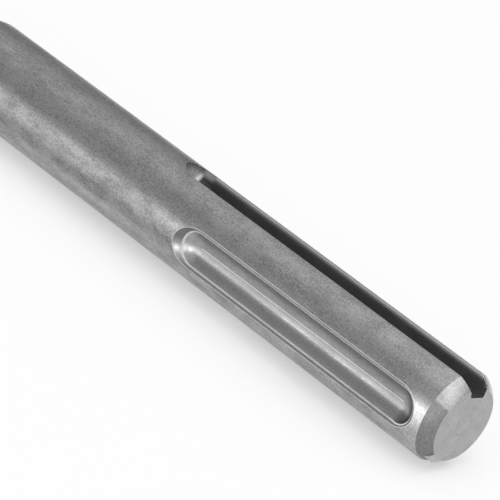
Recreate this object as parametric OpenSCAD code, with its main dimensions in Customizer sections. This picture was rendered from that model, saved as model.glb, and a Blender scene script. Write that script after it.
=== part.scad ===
// Hammer drill bit: an 18 mm grooved shank, a rounded shoulder and neck, two
// right-hand helical flutes, and a carbide plate brazed across the head.
// All sizes are in millimetres and degrees.
//
// The origin is the centre of the shank's end face. +X runs along the axis to
// the tip, +Z is up, and the two locking recesses face +Y and -Y.
// A turn of a groove is counted about the axis from straight up, towards -Y.

/* [Overall] */
// Length from the shank's end face to the chisel edge
total_len = 320; // [290:1:520]

/* [Shank] */
// Diameter of the shank
shank_d = 18; // [17.6:0.1:18.4]
// Length over which the shank keeps its full diameter
shank_len = 126.3; // [118:0.1:140]
// Diameter of the flat end face inside the chamfer
end_face_d = 14.26; // [12:0.02:15.6]
// Length of the end chamfer along the axis
chamfer_len = 2.5; // [1.5:0.1:4]
// Radius to which the chamfer bulges
chamfer_bulge_r = 7; // [5:0.5:20]

/* [Forging lip] */
// Distance of the lip's flat underside from the axis
lip_flat = 7.2; // [7:0.05:7.6]
// Reach of the flat from its middle to the lip's corner
lip_reach = 4.3; // [2:0.05:4.6]
// Length of the lip along the axis
lip_len = 2; // [0.6:0.1:2.4]
// Turn of the flat underside
lip_turn = 186.7; // [180:0.1:200]

/* [Locking recesses] */
// Depth of a recess below the shank's surface
recess_depth = 2.8; // [2:0.1:3]
// Radius of the recess's trough and of its ball ends
recess_ball_r = 4.05; // [3.6:0.05:4.4]
// Centre of the ball end next to the end face
recess_near = 8.75; // [8:0.05:12]
// Centre of the ball end next to the plain shank
recess_far = 59.3; // [40:0.1:62]
// Radius of the wide, shallow relief that breaks the recess's edge
relief_r = 8.7; // [8:0.1:9.5]
// Distance of the relief's trough bottom below the shank's surface
relief_depth = 1.8; // [1.6:0.05:1.9]
// Shift of the relief's near ball from the recess's near ball
relief_near_shift = 0.95; // [0.6:0.05:1.4]
// Shift of the relief's far ball from the recess's far ball
relief_far_shift = 0.1; // [-0.4:0.05:0.4]

/* [Deep drive slot] */
// Distance of the slot's floor from the axis
slot_floor = 5.35; // [5.2:0.05:5.8]
// Width of the slot's floor
slot_w = 3.7; // [3.2:0.1:4]
// Lean of the idle flank from upright
slot_flare = 32; // [24:1:36]
// Length of the slot up to its rounded end
slot_len = 69.2; // [60:0.1:72]
// Reach of the rounded end along the axis
slot_end_reach = 5.05; // [4:0.05:6]
// Radius of the rounded end across the slot
slot_end_r = 3.05; // [2.8:0.05:3.3]
// Shift of the rounded end from the middle of the floor, towards the idle flank
slot_end_shift = 0.55; // [0.3:0.05:0.8]
// Turn of the slot
slot_turn = 7; // [0:0.5:9]
// Height above the axis at which the driving flank's broken edge starts
slot_break = 8.1; // [7.8:0.05:8.5]
// Lean of the broken edge from upright
slot_break_lean = 40; // [25:1:50]

/* [Shallow drive slots] */
// Distance of the floors from the axis
side_slot_floor = 7.3; // [7.2:0.05:7.8]
// Width of the floors
side_slot_w = 3.4; // [2.6:0.1:3.6]
// Centre of each slot's rounded end
side_slot_len = 70; // [60:0.5:74]
// Turn of the first shallow slot
side_slot_turn_a = 136; // [134:1:140]
// Turn of the second shallow slot
side_slot_turn_b = 171; // [166:1:172]

/* [Neck] */
// Radius of the rounded shoulder at the end of the shank
shoulder_r = 9.5; // [6:0.1:12]
// Diameter of the neck between the shank and the flutes
neck_d = 14.6; // [13:0.1:16]
// Length of the plain neck past the shoulder
neck_len = 2.4; // [1:0.1:6]

/* [Flutes] */
// Diameter over the lands
flute_d = 18.6; // [17.6:0.1:19]
// Diameter of the core
core_d = 11; // [9.5:0.1:12.5]
// Axial length of one full turn of a flute
flute_lead = 50; // [44:1:70]
// Half of the angle that a land's top covers
land_half = 29; // [24:1:32]
// Angle over which the carrying flank falls to the core
carrying_flank = 22; // [18:1:28]
// Angle over which the trailing flank falls to the core
trailing_flank = 38; // [30:1:42]
// Length over which the lands rise out of the neck
land_rise = 6; // [3:0.5:10]
// Length over which the grooves sink to the core
groove_fade = 16; // [8:1:24]

/* [Head] */
// Diameter that the carbide plate cuts
head_d = 20; // [19.8:0.1:21]
// Angle of the point
point_angle = 130; // [120:1:140]
// Length over which the flutes straighten below the plate's seat
straighten_len = 16; // [8:1:20]
// How far the chisel edge stands past the apex of the steel's cone
plate_proud = 1.4; // [1:0.1:2]

/* [Carbide plate] */
// Thickness of the plate
plate_t = 4.6; // [4:0.1:5]
// Height of the plate from its seat to the chisel edge
plate_h = 13; // [11:0.5:16]
// Fall of each top face behind its cutting edge
plate_relief = 22; // [15:1:28]
// Narrowing of the plate's radius from its cutting corners to its seat
plate_taper = 0.4; // [0.1:0.05:0.6]
// Thickness of the braze between the plate and the steel
braze_gap = 0.15; // [0.1:0.01:0.25]

/* [Hidden] */
$fn = 96;
// Overshoot of cutters past the faces that they cut
over = 1;
// Step between the corners of an egg's outline
egg_step = 7.5;

shank_r = shank_d / 2;
end_face_r = end_face_d / 2;
neck_r = neck_d / 2;
flute_r = flute_d / 2;
core_r = core_d / 2;
head_r = head_d / 2;
half_point = point_angle / 2;
seat_x = total_len - plate_h;
plate_slot_w = plate_t + 2 * braze_gap;
// Axial place of the corners where the cutting edges end
corner_x = total_len - head_r / tan(half_point);

// Centre of the circle that gives the chamfer its bulge
chamfer_mid = [(shank_r + end_face_r) / 2, chamfer_len / 2];
chamfer_run = [shank_r - end_face_r, chamfer_len];
chamfer_chord = norm(chamfer_run);
chamfer_back = sqrt(pow(chamfer_bulge_r, 2) - pow(chamfer_chord / 2, 2));
chamfer_centre = chamfer_mid + [-chamfer_run.y, chamfer_run.x] * chamfer_back / chamfer_chord;

// Axial reach of the shoulder's arc from the full shank down to the neck
shoulder_len = sqrt(pow(shoulder_r, 2) - pow(shoulder_r - (shank_r - neck_r), 2));
neck_end = shank_len + shoulder_len + neck_len;

// The fluted bar is swept through rings of points. Its root stays this far
// inside the neck, so that it grows out of the neck's end face.
root_step = 0.1;
root_x = neck_end - over;
cone_apex = total_len - plate_proud;
// The flutes run straight from here to the tip
straight_x = seat_x - over;
helix_end = straight_x - straighten_len;
turn_step = 9;
ring_pitch = flute_lead * turn_step / 360;
// The last ring lies inside the plate's slot, which cuts it away
last_ring_r = plate_t / 4;

// Fineness of the swept bar: its points round half a turn, and its rings
floor_points = 2;
flank_points = 5;
land_points = 4;
rise_rings = 6;
cone_rings = 3;

// Turn of the flutes at x: a plain helix, then an easing to straight
function flute_turn(x) =
    let(
        helix = min(x, helix_end) - helix_end,
        eased = max(0, min(x, straight_x) - helix_end)
    )
    (helix + eased - pow(eased, 2) / (2 * straighten_len) - straighten_len / 2) * 360 / flute_lead;

// Rises smoothly from 0 to 1 while t goes from 0 to 1
function ease(t) =
    let(s = max(0, min(1, t)))
    s * s * (3 - 2 * s);

// Share of the groove's depth at an angle from the middle of a land
function groove_share(angle) =
    angle > 0
        ? ease((angle - land_half) / trailing_flank)
        : ease((-angle - land_half) / carrying_flank);

// Radius of the bar over the lands at x
function land_radius(x) =
    let(
        root_r = neck_r - root_step,
        risen = root_r + (flute_r - root_r) * ease((x - neck_end) / land_rise)
    )
    min(risen, (cone_apex - x) * tan(half_point));

// Radius of the bar at x, at an angle from the middle of a land
function bar_radius(x, angle) =
    let(
        land = land_radius(x),
        sunk = (flute_r - core_r) * ease((x - neck_end) / groove_fade)
    )
    min(land, flute_r - sunk * groove_share(angle));

// Evenly spaced values from first up to, but without, last
function spread(first, last, count) = [for (k = [0:count - 1]) first + (last - first) * k / count];

// Angles from the middle of a land over half a turn, closer together on its flanks
flank_end = -land_half - carrying_flank;
tail_end = land_half + trailing_flank;
land_angles = concat(
    spread(-90, flank_end, floor_points),
    spread(flank_end, -land_half, flank_points),
    spread(-land_half, land_half, land_points),
    spread(land_half, tail_end, flank_points),
    spread(tail_end, 90, floor_points)
);

// Places of the rings: close together in the run-out, then one to each turn step
rise_end = neck_end + land_rise;
ring_places = concat(
    [root_x],
    spread(neck_end, rise_end, rise_rings),
    [for (x = [rise_end:ring_pitch:straight_x]) x],
    [straight_x],
    [for (r = spread(flute_r, last_ring_r, cone_rings)) cone_apex - r / tan(half_point)],
    [cone_apex - last_ring_r / tan(half_point)]
);

// One ring of the fluted bar: both lands and both grooves
function flute_ring(x) = [
    for (land = [0, 180], t = land_angles)
        let(r = bar_radius(x, t), a = land + t + flute_turn(x)) [x, r * cos(a), r * sin(a)]
];

// A capsule lies along X between two ball centres
module capsule(r, from_x, to_x) {
    translate([from_x, 0, 0]) rotate([0, 90, 0]) cylinder(h = to_x - from_x, r = r);
    for (x = [from_x, to_x]) translate([x, 0, 0]) sphere(r = r);
}

// Extrudes a cross-section along +X: its x runs towards -Y and its y runs up
module along_shank(from_x, length) {
    translate([from_x, 0, 0]) rotate([90, 0, -90]) mirror([0, 0, 1]) linear_extrude(length) children();
}

// Half outline of the shank, shoulder and neck: x is the radius, y runs along the axis
module blank_outline() {
    difference() {
        square([shank_r, shank_len]);
        difference() {
            translate([end_face_r, -over]) square([shank_r, over + chamfer_len]);
            translate(chamfer_centre) circle(r = chamfer_bulge_r);
        }
    }
    intersection() {
        translate([0, shank_len]) square([shank_r, shoulder_len]);
        translate([shank_r - shoulder_r, shank_len]) circle(r = shoulder_r);
    }
    square([neck_r, neck_end]);
}

// The turned blank of the shank end, without its grooves
module shank_blank() {
    rotate([0, 90, 0]) rotate_extrude() blank_outline();
}

// Flat-bottomed corner of steel that the forging left proud of the end chamfer
module forging_lip() {
    rotate([lip_turn, 0, 0]) along_shank(0, lip_len) square([lip_reach, lip_flat]);
}

// Cutter for one locking recess on the +Y side: a ball-ended trough with a relieved edge
module recess_cutter() {
    translate([0, shank_r - recess_depth + recess_ball_r, 0])
        capsule(recess_ball_r, recess_near, recess_far);
    translate([0, shank_r - relief_depth + relief_r, 0])
        capsule(relief_r, recess_near + relief_near_shift, recess_far + relief_far_shift);
}

// Half an egg: round across, and drawn out to a reach along +X
module half_egg(r, reach) {
    rotate([0, 90, 0]) rotate_extrude() polygon([
        [0, 0],
        for (a = [90:-egg_step:0]) [r * sin(a), reach * cos(a)],
    ]);
}

// Cutter for the deep drive slot: upright driving flank, leaning idle flank, rounded end
module deep_slot_cutter() {
    half_w = slot_w / 2;
    top = shank_r + over;
    idle_reach = (top - slot_floor) * tan(slot_flare);
    break_reach = (top - slot_break) * tan(slot_break_lean);
    rotate([slot_turn, 0, 0]) {
        along_shank(-over, slot_len + over) polygon([
            [-half_w, slot_floor],
            [half_w, slot_floor],
            [half_w, slot_break],
            [half_w + break_reach, top],
            [-half_w - idle_reach, top],
        ]);
        translate([slot_len, slot_end_shift, slot_floor + slot_end_r])
            half_egg(slot_end_r, slot_end_reach);
    }
}

// Cutter for one shallow drive slot, open at the end face and rounded at its far end
module side_slot_cutter(turn) {
    rotate([turn, 0, 0]) translate([0, 0, side_slot_floor]) {
        translate([-over, -side_slot_w / 2, 0]) cube([side_slot_len + over, side_slot_w, shank_r]);
        translate([side_slot_len, 0, 0]) cylinder(h = shank_r, d = side_slot_w);
    }
}

// The shank with its lip, recesses and drive slots
module shank() {
    difference() {
        union() {
            shank_blank();
            forging_lip();
        }
        recess_cutter();
        mirror([0, 1, 0]) recess_cutter();
        deep_slot_cutter();
        side_slot_cutter(side_slot_turn_a);
        side_slot_cutter(side_slot_turn_b);
    }
}

// The fluted bar from the neck to the steel's cone at the tip
module fluted_bar() {
    count = 2 * len(land_angles);
    last = len(ring_places) - 1;
    polyhedron(
        points = [for (x = ring_places) each flute_ring(x)],
        faces = concat(
            [[for (i = [0:count - 1]) i]],
            [
                for (k = [0:last - 1], i = [0:count - 1])
                    let(a = k * count + i, b = k * count + (i + 1) % count)
                        each [[a, a + count, b], [b, a + count, b + count]]
            ],
            [[for (i = [count - 1:-1:0]) last * count + i]]
        ),
        convexity = 8
    );
}

// Slot across the head that takes the plate and its braze
module plate_slot() {
    translate([seat_x - braze_gap, -head_r, -plate_slot_w / 2]) cube([plate_h, head_d, plate_slot_w]);
}

module drill_body() {
    color([0.60, 0.60, 0.61]) {
        shank();
        difference() {
            fluted_bar();
            plate_slot();
        }
    }
}

// Square block of the carbide plate, before its faces are ground
module plate_block() {
    translate([seat_x, -head_r - over, -plate_t / 2]) cube([plate_h, head_d + 2 * over, plate_t]);
}

// Keeps what lies under the top face that cuts on the +Y side
module top_face_keep() {
    edge_fall = 1 / tan(half_point);
    yaw = atan(edge_fall);
    pitch = atan(tan(plate_relief) / norm([1, edge_fall]));
    translate([total_len, 0, 0]) rotate([0, pitch, yaw]) translate([-2 * head_d, -head_d, -head_d])
        cube(2 * head_d);
}

module carbide_plate() {
    side_slope = plate_taper / (corner_x - seat_x);
    tip_r = head_r + side_slope * (total_len - corner_x);
    color([0.42, 0.43, 0.45]) intersection() {
        plate_block();
        translate([seat_x, 0, 0]) rotate([0, 90, 0])
            cylinder(h = plate_h, r1 = head_r - plate_taper, r2 = tip_r);
        top_face_keep();
        rotate([180, 0, 0]) top_face_keep();
    }
}

// Braze that fills the slot around the plate's flats and seat, flush with the steel
module braze_seam() {
    seam_r = flute_r - root_step;
    cone_len = seam_r / tan(half_point);
    color([0.72, 0.60, 0.36]) difference() {
        intersection() {
            plate_slot();
            translate([cone_apex - cone_len, 0, 0]) rotate([0, 90, 0]) {
                cylinder(h = cone_len, r1 = seam_r, r2 = 0);
                mirror([0, 0, 1]) cylinder(h = plate_h, r = seam_r);
            }
        }
        plate_block();
    }
}

drill_body();
carbide_plate();
braze_seam();
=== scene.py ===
"""Dresses a packed hammer drill bit for a studio picture.

The bit lies along +X with its shank's end face at the origin. Its steel bar is remade here
with fine lathe-turned, milled and swept meshes, and the carbide plate and its braze keep
their solids and get their finishes. Sizes of the bar and places in the studio are in
millimetres, and are turned into metres where they are used. Sizes in the finishes and in
the lamps are in metres.
"""
import logging
import math
from dataclasses import dataclass, field
from enum import Enum
from typing import NamedTuple

import bpy
import numpy as np
from mathutils import Matrix, Quaternion, Vector


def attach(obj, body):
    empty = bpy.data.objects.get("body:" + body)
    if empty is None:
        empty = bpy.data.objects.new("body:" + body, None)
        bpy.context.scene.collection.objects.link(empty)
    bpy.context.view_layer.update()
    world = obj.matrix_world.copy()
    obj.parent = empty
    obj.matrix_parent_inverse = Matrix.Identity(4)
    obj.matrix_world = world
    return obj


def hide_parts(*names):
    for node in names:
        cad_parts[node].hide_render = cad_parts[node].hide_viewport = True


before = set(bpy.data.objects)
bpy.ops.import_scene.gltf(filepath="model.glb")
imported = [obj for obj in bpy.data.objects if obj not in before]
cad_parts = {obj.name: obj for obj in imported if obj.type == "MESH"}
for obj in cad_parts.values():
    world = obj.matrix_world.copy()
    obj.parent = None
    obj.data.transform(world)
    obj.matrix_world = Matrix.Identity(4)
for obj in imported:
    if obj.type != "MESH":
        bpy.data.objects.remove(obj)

log = logging.getLogger("drill_bit")

MM = 0.001
FULL_TURN = 2 * math.pi
MERGE_GAP = 1e-7
WELD_GAP = 2e-5
SMOOTH_ANGLE = math.radians(18)
FLOAT = "NodeSocketFloat"
VECTOR = "NodeSocketVector"

Piece = bpy.types.Object
Socket = bpy.types.NodeSocket
Sockets = bpy.types.bpy_prop_collection
Value = float | Socket
Pairs = list[tuple[float, float]]


class Side(Enum):
    """The two opposite faces of the shank that carry a locking recess."""

    NEAR = 1
    FAR = -1


class Merge(Enum):
    """What is done to a body with a closed shell."""

    CUT = "DIFFERENCE"
    FUSE = "UNION"


def deselect() -> None:
    """Leaves object mode with nothing selected."""
    if bpy.context.object and bpy.context.object.mode != "OBJECT":
        bpy.ops.object.mode_set(mode="OBJECT")
    bpy.ops.object.select_all(action="DESELECT")


def pick(piece: Piece) -> None:
    """Selects one object alone and makes it the active one."""
    deselect()
    piece.select_set(True)
    bpy.context.view_layer.objects.active = piece


def edit(piece: Piece, action: str = "SELECT") -> None:
    """Opens one mesh in edit mode, with all of it selected or none.

    Args:
        piece: The mesh object to open.
        action: SELECT or DESELECT.
    """
    pick(piece)
    bpy.ops.object.mode_set(mode="EDIT")
    bpy.ops.mesh.select_all(action=action)


def draw_line(name: str, points: list[Vector]) -> Piece:
    """Draws a chain of edges, to be spun or extruded.

    Args:
        name: The name of the new object.
        points: The corners of the chain, in metres.

    Returns:
        The new object, in object mode.
    """
    deselect()
    bpy.ops.mesh.primitive_plane_add(size=MM)
    line = bpy.context.object
    line.name = name
    edit(line)
    bpy.ops.mesh.merge(type="CENTER")
    bpy.ops.transform.translate(value=points[0])
    for start, end in zip(points, points[1:]):
        bpy.ops.mesh.extrude_vertices_move(TRANSFORM_OT_translate={"value": end - start})
    bpy.ops.object.mode_set(mode="OBJECT")
    return line


def clean_shell(piece: Piece) -> None:
    """Merges doubled points of a closed mesh and turns every face outwards."""
    edit(piece)
    bpy.ops.mesh.remove_doubles(threshold=MERGE_GAP)
    bpy.ops.mesh.normals_make_consistent(inside=False)
    bpy.ops.object.mode_set(mode="OBJECT")


def spun(name: str, points: list[Vector], axis: Vector, centre: Vector, steps: int) -> Piece:
    """Spins a chain of points once round an axis and closes it, as on a lathe.

    Args:
        name: The name of the new object.
        points: The corners of the chain, in millimetres.
        axis: The direction of the axis.
        centre: A point of the axis, in millimetres.
        steps: The number of faces round the axis.

    Returns:
        The closed shell.
    """
    shell = draw_line(name, [point * MM for point in points])
    edit(shell)
    bpy.ops.mesh.spin(steps=steps, angle=FULL_TURN, center=centre * MM, axis=axis)
    clean_shell(shell)
    return shell


def turned(name: str, profile: Pairs, steps: int, centre: Vector) -> Piece:
    """Turns a profile round an axis parallel to X.

    Args:
        name: The name of the new object.
        profile: Pairs of place along X and radius, in millimetres, from axis to axis.
        steps: The number of faces round the axis.
        centre: A point of the axis, in millimetres.

    Returns:
        The closed turned shell.
    """
    points = [Vector((x, centre.y, centre.z + r)) for x, r in profile]
    return spun(name, points, Vector((1, 0, 0)), centre, steps)


def extruded(name: str, corners: list[Vector], shift: Vector) -> Piece:
    """Fills a flat chain of corners and draws it out into a prism.

    Args:
        name: The name of the new object.
        corners: The corners of the first face, in metres.
        shift: The way from the first face to the last one, in metres.

    Returns:
        The closed prism.
    """
    prism = draw_line(name, corners)
    edit(prism)
    bpy.ops.mesh.edge_face_add()
    bpy.ops.mesh.extrude_region_move(TRANSFORM_OT_translate={"value": shift})
    clean_shell(prism)
    return prism


def combine(body: Piece, tool: Piece, merge: Merge) -> None:
    """Cuts a closed shell out of a body, or fuses it on, and removes the shell.

    Args:
        body: The closed mesh that is changed.
        tool: The closed mesh that is taken away or added.
        merge: Whether it is cut or fused.
    """
    pick(body)
    step = body.modifiers.new("combine", "BOOLEAN")
    step.operation = merge.value
    step.solver = "EXACT"
    step.material_mode = "TRANSFER"
    step.object = tool
    bpy.ops.object.modifier_apply(modifier=step.name)
    bpy.data.objects.remove(tool, do_unlink=True)


def ease(share: float) -> float:
    """Rises smoothly from 0 to 1 while share goes from 0 to 1."""
    share = min(1.0, max(0.0, share))
    return share * share * (3 - 2 * share)


def axis_turn(turn: float) -> Matrix:
    """Gives the turn about the bit's axis, in degrees from straight up towards -Y."""
    return Matrix.Rotation(math.radians(turn), 3, "X")


class NodeBench:
    """Adds and joins nodes of one tree, so that a material reads as a short list."""

    def __init__(self, tree: bpy.types.NodeTree) -> None:
        """Starts on a tree, which is emptied."""
        self.tree = tree
        tree.nodes.clear()

    def add(self, kind: str, inputs: dict | None = None, **settings) -> bpy.types.Node:
        """Adds a node, sets it and feeds its inputs.

        Args:
            kind: The node's type name.
            inputs: Values or output sockets for its inputs, by name or number.
            **settings: Properties of the node.

        Returns:
            The new node.
        """
        node = self.tree.nodes.new(kind)
        for name, value in settings.items():
            setattr(node, name, value)
        for key, value in (inputs or {}).items():
            socket = node.inputs[key]
            if isinstance(value, Socket):
                self.tree.links.new(value, socket)
            else:
                socket.default_value = value
        return node

    def join(self, source: Socket, target: Socket) -> None:
        """Joins an output to an input."""
        self.tree.links.new(source, target)

    def group(self, tree: bpy.types.NodeTree, **values: float) -> Sockets:
        """Places a node group with numbers for its inputs, and gives its outputs."""
        return self.add("ShaderNodeGroup", values, node_tree=tree).outputs

    def spot(self) -> Socket:
        """Gives the place on the piece."""
        return self.add("ShaderNodeTexCoord").outputs["Object"]

    def parts(self) -> Sockets:
        """Gives the place on the piece as X, Y and Z."""
        return self.add("ShaderNodeSeparateXYZ", {0: self.spot()}).outputs

    def noise(self, spot: Socket, scale: Value, detail: float, roughness: float) -> Socket:
        """Adds a Noise Texture.

        Args:
            spot: The place.
            scale: The number of waves to a metre.
            detail: The number of finer layers.
            roughness: The strength of the finer layers.

        Returns:
            The noise.
        """
        inputs = {"Vector": spot, "Scale": scale, "Detail": detail, "Roughness": roughness}
        return self.add("ShaderNodeTexNoise", inputs).outputs[0]

    def blend(self, share: Value, low: Value, high: Value) -> Socket:
        """Gives low where share is 0, high where it is 1, and a mix between."""
        return self.add("ShaderNodeMix", {0: share, 2: low, 3: high}, data_type="FLOAT").outputs[0]

    def math(self, operation: str, *values: Value, clamp: bool = False) -> Socket:
        """Works out a Math node's operation, kept between 0 and 1 where clamp says so."""
        node = self.add("ShaderNodeMath", dict(enumerate(values)), operation=operation, use_clamp=clamp)
        return node.outputs[0]

    def plus(self, first: Value, second: Value) -> Socket:
        """Adds two values."""
        return self.math("ADD", first, second)

    def minus(self, first: Value, second: Value) -> Socket:
        """Takes the second value from the first."""
        return self.math("SUBTRACT", first, second)

    def times(self, first: Value, second: Value) -> Socket:
        """Multiplies two values."""
        return self.math("MULTIPLY", first, second)

    def span(
        self, value: Value, low: float, high: float, to_low: float = 0.0, to_high: float = 1.0
    ) -> Socket:
        """Maps a value's span onto another, clamped.

        Args:
            value: The value that is read.
            low: The value that gives to_low.
            high: The value that gives to_high.
            to_low: The result at low and below.
            to_high: The result at high and above.

        Returns:
            The result.
        """
        inputs = {0: value, 1: low, 2: high, 3: to_low, 4: to_high}
        return self.add("ShaderNodeMapRange", inputs, clamp=True).outputs[0]

    def fall(self, value: Value, full: float, none: float, top: float = 1.0) -> Socket:
        """Falls from top to 0 while a value goes from full to none."""
        return self.span(value, full, none, top, 0.0)

    def stripe(
        self, value: Value, middle: float, full: float, none: float, top: float = 1.0
    ) -> Socket:
        """Gives top where a value is within full of a middle, and 0 where it is none away."""
        return self.fall(self.math("ABSOLUTE", self.minus(value, middle)), full, none, top)


def new_group(name: str, inputs: dict[str, float], outputs: dict[str, str]) -> tuple:
    """Makes an empty shader node group with named sockets.

    Args:
        name: The group's name.
        inputs: Each input's name and its default number.
        outputs: Each output's name and its socket type.

    Returns:
        The group, its bench, its input node's outputs and its output node's inputs.
    """
    group = bpy.data.node_groups.new(name, "ShaderNodeTree")
    for key, value in inputs.items():
        socket = group.interface.new_socket(name=key, in_out="INPUT", socket_type=FLOAT)
        socket.default_value = value
    for key, kind in outputs.items():
        group.interface.new_socket(name=key, in_out="OUTPUT", socket_type=kind)
    bench = NodeBench(group)
    entry = bench.add("NodeGroupInput")
    leave = bench.add("NodeGroupOutput")
    return group, bench, entry.outputs, leave.inputs


@dataclass
class Effects:
    """The surface effects that several finishes share, each built once as a node group."""

    pit_cells: float = 1100.0
    pit_edge: tuple[float, float] = (0.12, 0.3)
    pit_waves: float = 330.0
    pit_spread: tuple[float, float] = (0.56, 0.68)
    patch_stretch: tuple[float, float, float] = (0.5, 1.0, 1.0)
    streak_stretch: tuple[float, float, float] = (0.05, 1.0, 1.0)
    grain_share: float = 0.6
    patch_share: float = 0.32
    streak_share: float = 0.08
    pit_share: float = 0.16
    wobble_waves: float = 260.0
    break_waves: float = 900.0
    break_span: tuple[float, float, float, float] = (0.3, 0.7, 0.45, 1.0)

    def __post_init__(self) -> None:
        """Builds the groups."""
        self.blast = self.build_blast()
        self.edge = self.build_edge()
        self.axis_distance = self.build_axis_distance()
        self.rings = self.build_rings()

    def build_blast(self) -> bpy.types.NodeTree:
        """Builds the fine grain, patches, streaks and pits of blasted steel.

        Returns:
            The group, with outputs Tone, Height and Patch.
        """
        group, bench, entry, leave = new_group(
            "BlastedGrain",
            {"Grain": 3600.0, "Patch": 420.0, "Pits": 0.5},
            {"Tone": FLOAT, "Height": FLOAT, "Patch": FLOAT},
        )
        spot = bench.spot()
        grain = bench.noise(spot, entry["Grain"], detail=3.0, roughness=0.7)
        drawn = bench.add("ShaderNodeMapping", {"Vector": spot, "Scale": self.patch_stretch}).outputs[0]
        patch = bench.noise(drawn, entry["Patch"], detail=4.0, roughness=0.62)
        drawn = bench.add("ShaderNodeMapping", {"Vector": spot, "Scale": self.streak_stretch}).outputs[0]
        streak = bench.noise(drawn, entry["Grain"], detail=2.0, roughness=0.6)
        cells = {"Vector": spot, "Scale": self.pit_cells}
        pit = bench.fall(bench.add("ShaderNodeTexVoronoi", cells, feature="F1").outputs[0], *self.pit_edge)
        sparse = bench.noise(spot, self.pit_waves, detail=2.0, roughness=0.5)
        pit = bench.times(pit, bench.span(sparse, *self.pit_spread))
        pit = bench.times(pit, entry["Pits"])
        mix = bench.plus(bench.times(grain, self.grain_share), bench.times(patch, self.patch_share))
        mix = bench.plus(mix, bench.times(streak, self.streak_share))
        bench.join(bench.minus(mix, bench.times(pit, self.pit_share)), leave["Tone"])
        bench.join(bench.minus(grain, pit), leave["Height"])
        bench.join(patch, leave["Patch"])
        return group

    def build_edge(self) -> bpy.types.NodeTree:
        """Builds the softly broken edge of a handled steel part.

        Returns:
            The group, with a rounded Normal and a Worn mask that is 1 on edges.
        """
        group, bench, entry, leave = new_group(
            "BrokenEdge", {"Radius": 0.0001, "Gain": 18.0}, {"Normal": VECTOR, "Worn": FLOAT}
        )
        rounded = bench.add("ShaderNodeBevel", {"Radius": entry["Radius"]}, samples=8).outputs[0]
        sharp = bench.add("ShaderNodeNewGeometry").outputs["Normal"]
        dot = bench.add("ShaderNodeVectorMath", {0: rounded, 1: sharp}, operation="DOT_PRODUCT")
        lost = bench.minus(1.0, dot.outputs["Value"])
        bench.join(rounded, leave["Normal"])
        bench.join(bench.math("MULTIPLY", lost, entry["Gain"], clamp=True), leave["Worn"])
        return group

    def build_axis_distance(self) -> bpy.types.NodeTree:
        """Builds the place of a point by distance from the bit's axis and turn about it.

        Returns:
            The group, with the Distance and the place Along the axis in metres, and the Turn
            from straight up towards +Y in radians.
        """
        group, bench, _, leave = new_group(
            "AxisDistance", {}, {"Distance": FLOAT, "Along": FLOAT, "Turn": FLOAT}
        )
        parts = bench.parts()
        flat = bench.add("ShaderNodeCombineXYZ", {1: parts[1], 2: parts[2]}).outputs[0]
        length = bench.add("ShaderNodeVectorMath", {0: flat}, operation="LENGTH")
        bench.join(length.outputs["Value"], leave["Distance"])
        bench.join(parts[0], leave["Along"])
        bench.join(bench.math("ARCTAN2", parts[1], parts[2]), leave["Turn"])
        return group

    def build_rings(self) -> bpy.types.NodeTree:
        """Builds the marks that a lathe tool leaves round the axis.

        Returns:
            The group, with the marks' Height.
        """
        group, bench, entry, leave = new_group(
            "TurningMarks", {"Pitch": 3000.0, "Wander": 0.00006}, {"Height": FLOAT}
        )
        spot = bench.spot()
        wobble = bench.noise(spot, self.wobble_waves, detail=2.0, roughness=0.5)
        reach = bench.group(self.axis_distance)["Distance"]
        reach = bench.plus(reach, bench.times(wobble, entry["Wander"]))
        waves = {"W": bench.times(reach, entry["Pitch"]), "Scale": 1.0, "Detail": 3.0, "Roughness": 0.7}
        marks = bench.add("ShaderNodeTexNoise", waves, noise_dimensions="1D").outputs[0]
        broken = bench.noise(spot, self.break_waves, detail=2.0, roughness=0.5)
        broken = bench.span(broken, *self.break_span)
        bench.join(bench.times(bench.minus(marks, 0.5), broken), leave["Height"])
        return group


class Marks(NamedTuple):
    """What draws a surface: its brightness, its height and its roughness."""

    tone: Socket
    height: Socket
    rough: Socket


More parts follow.
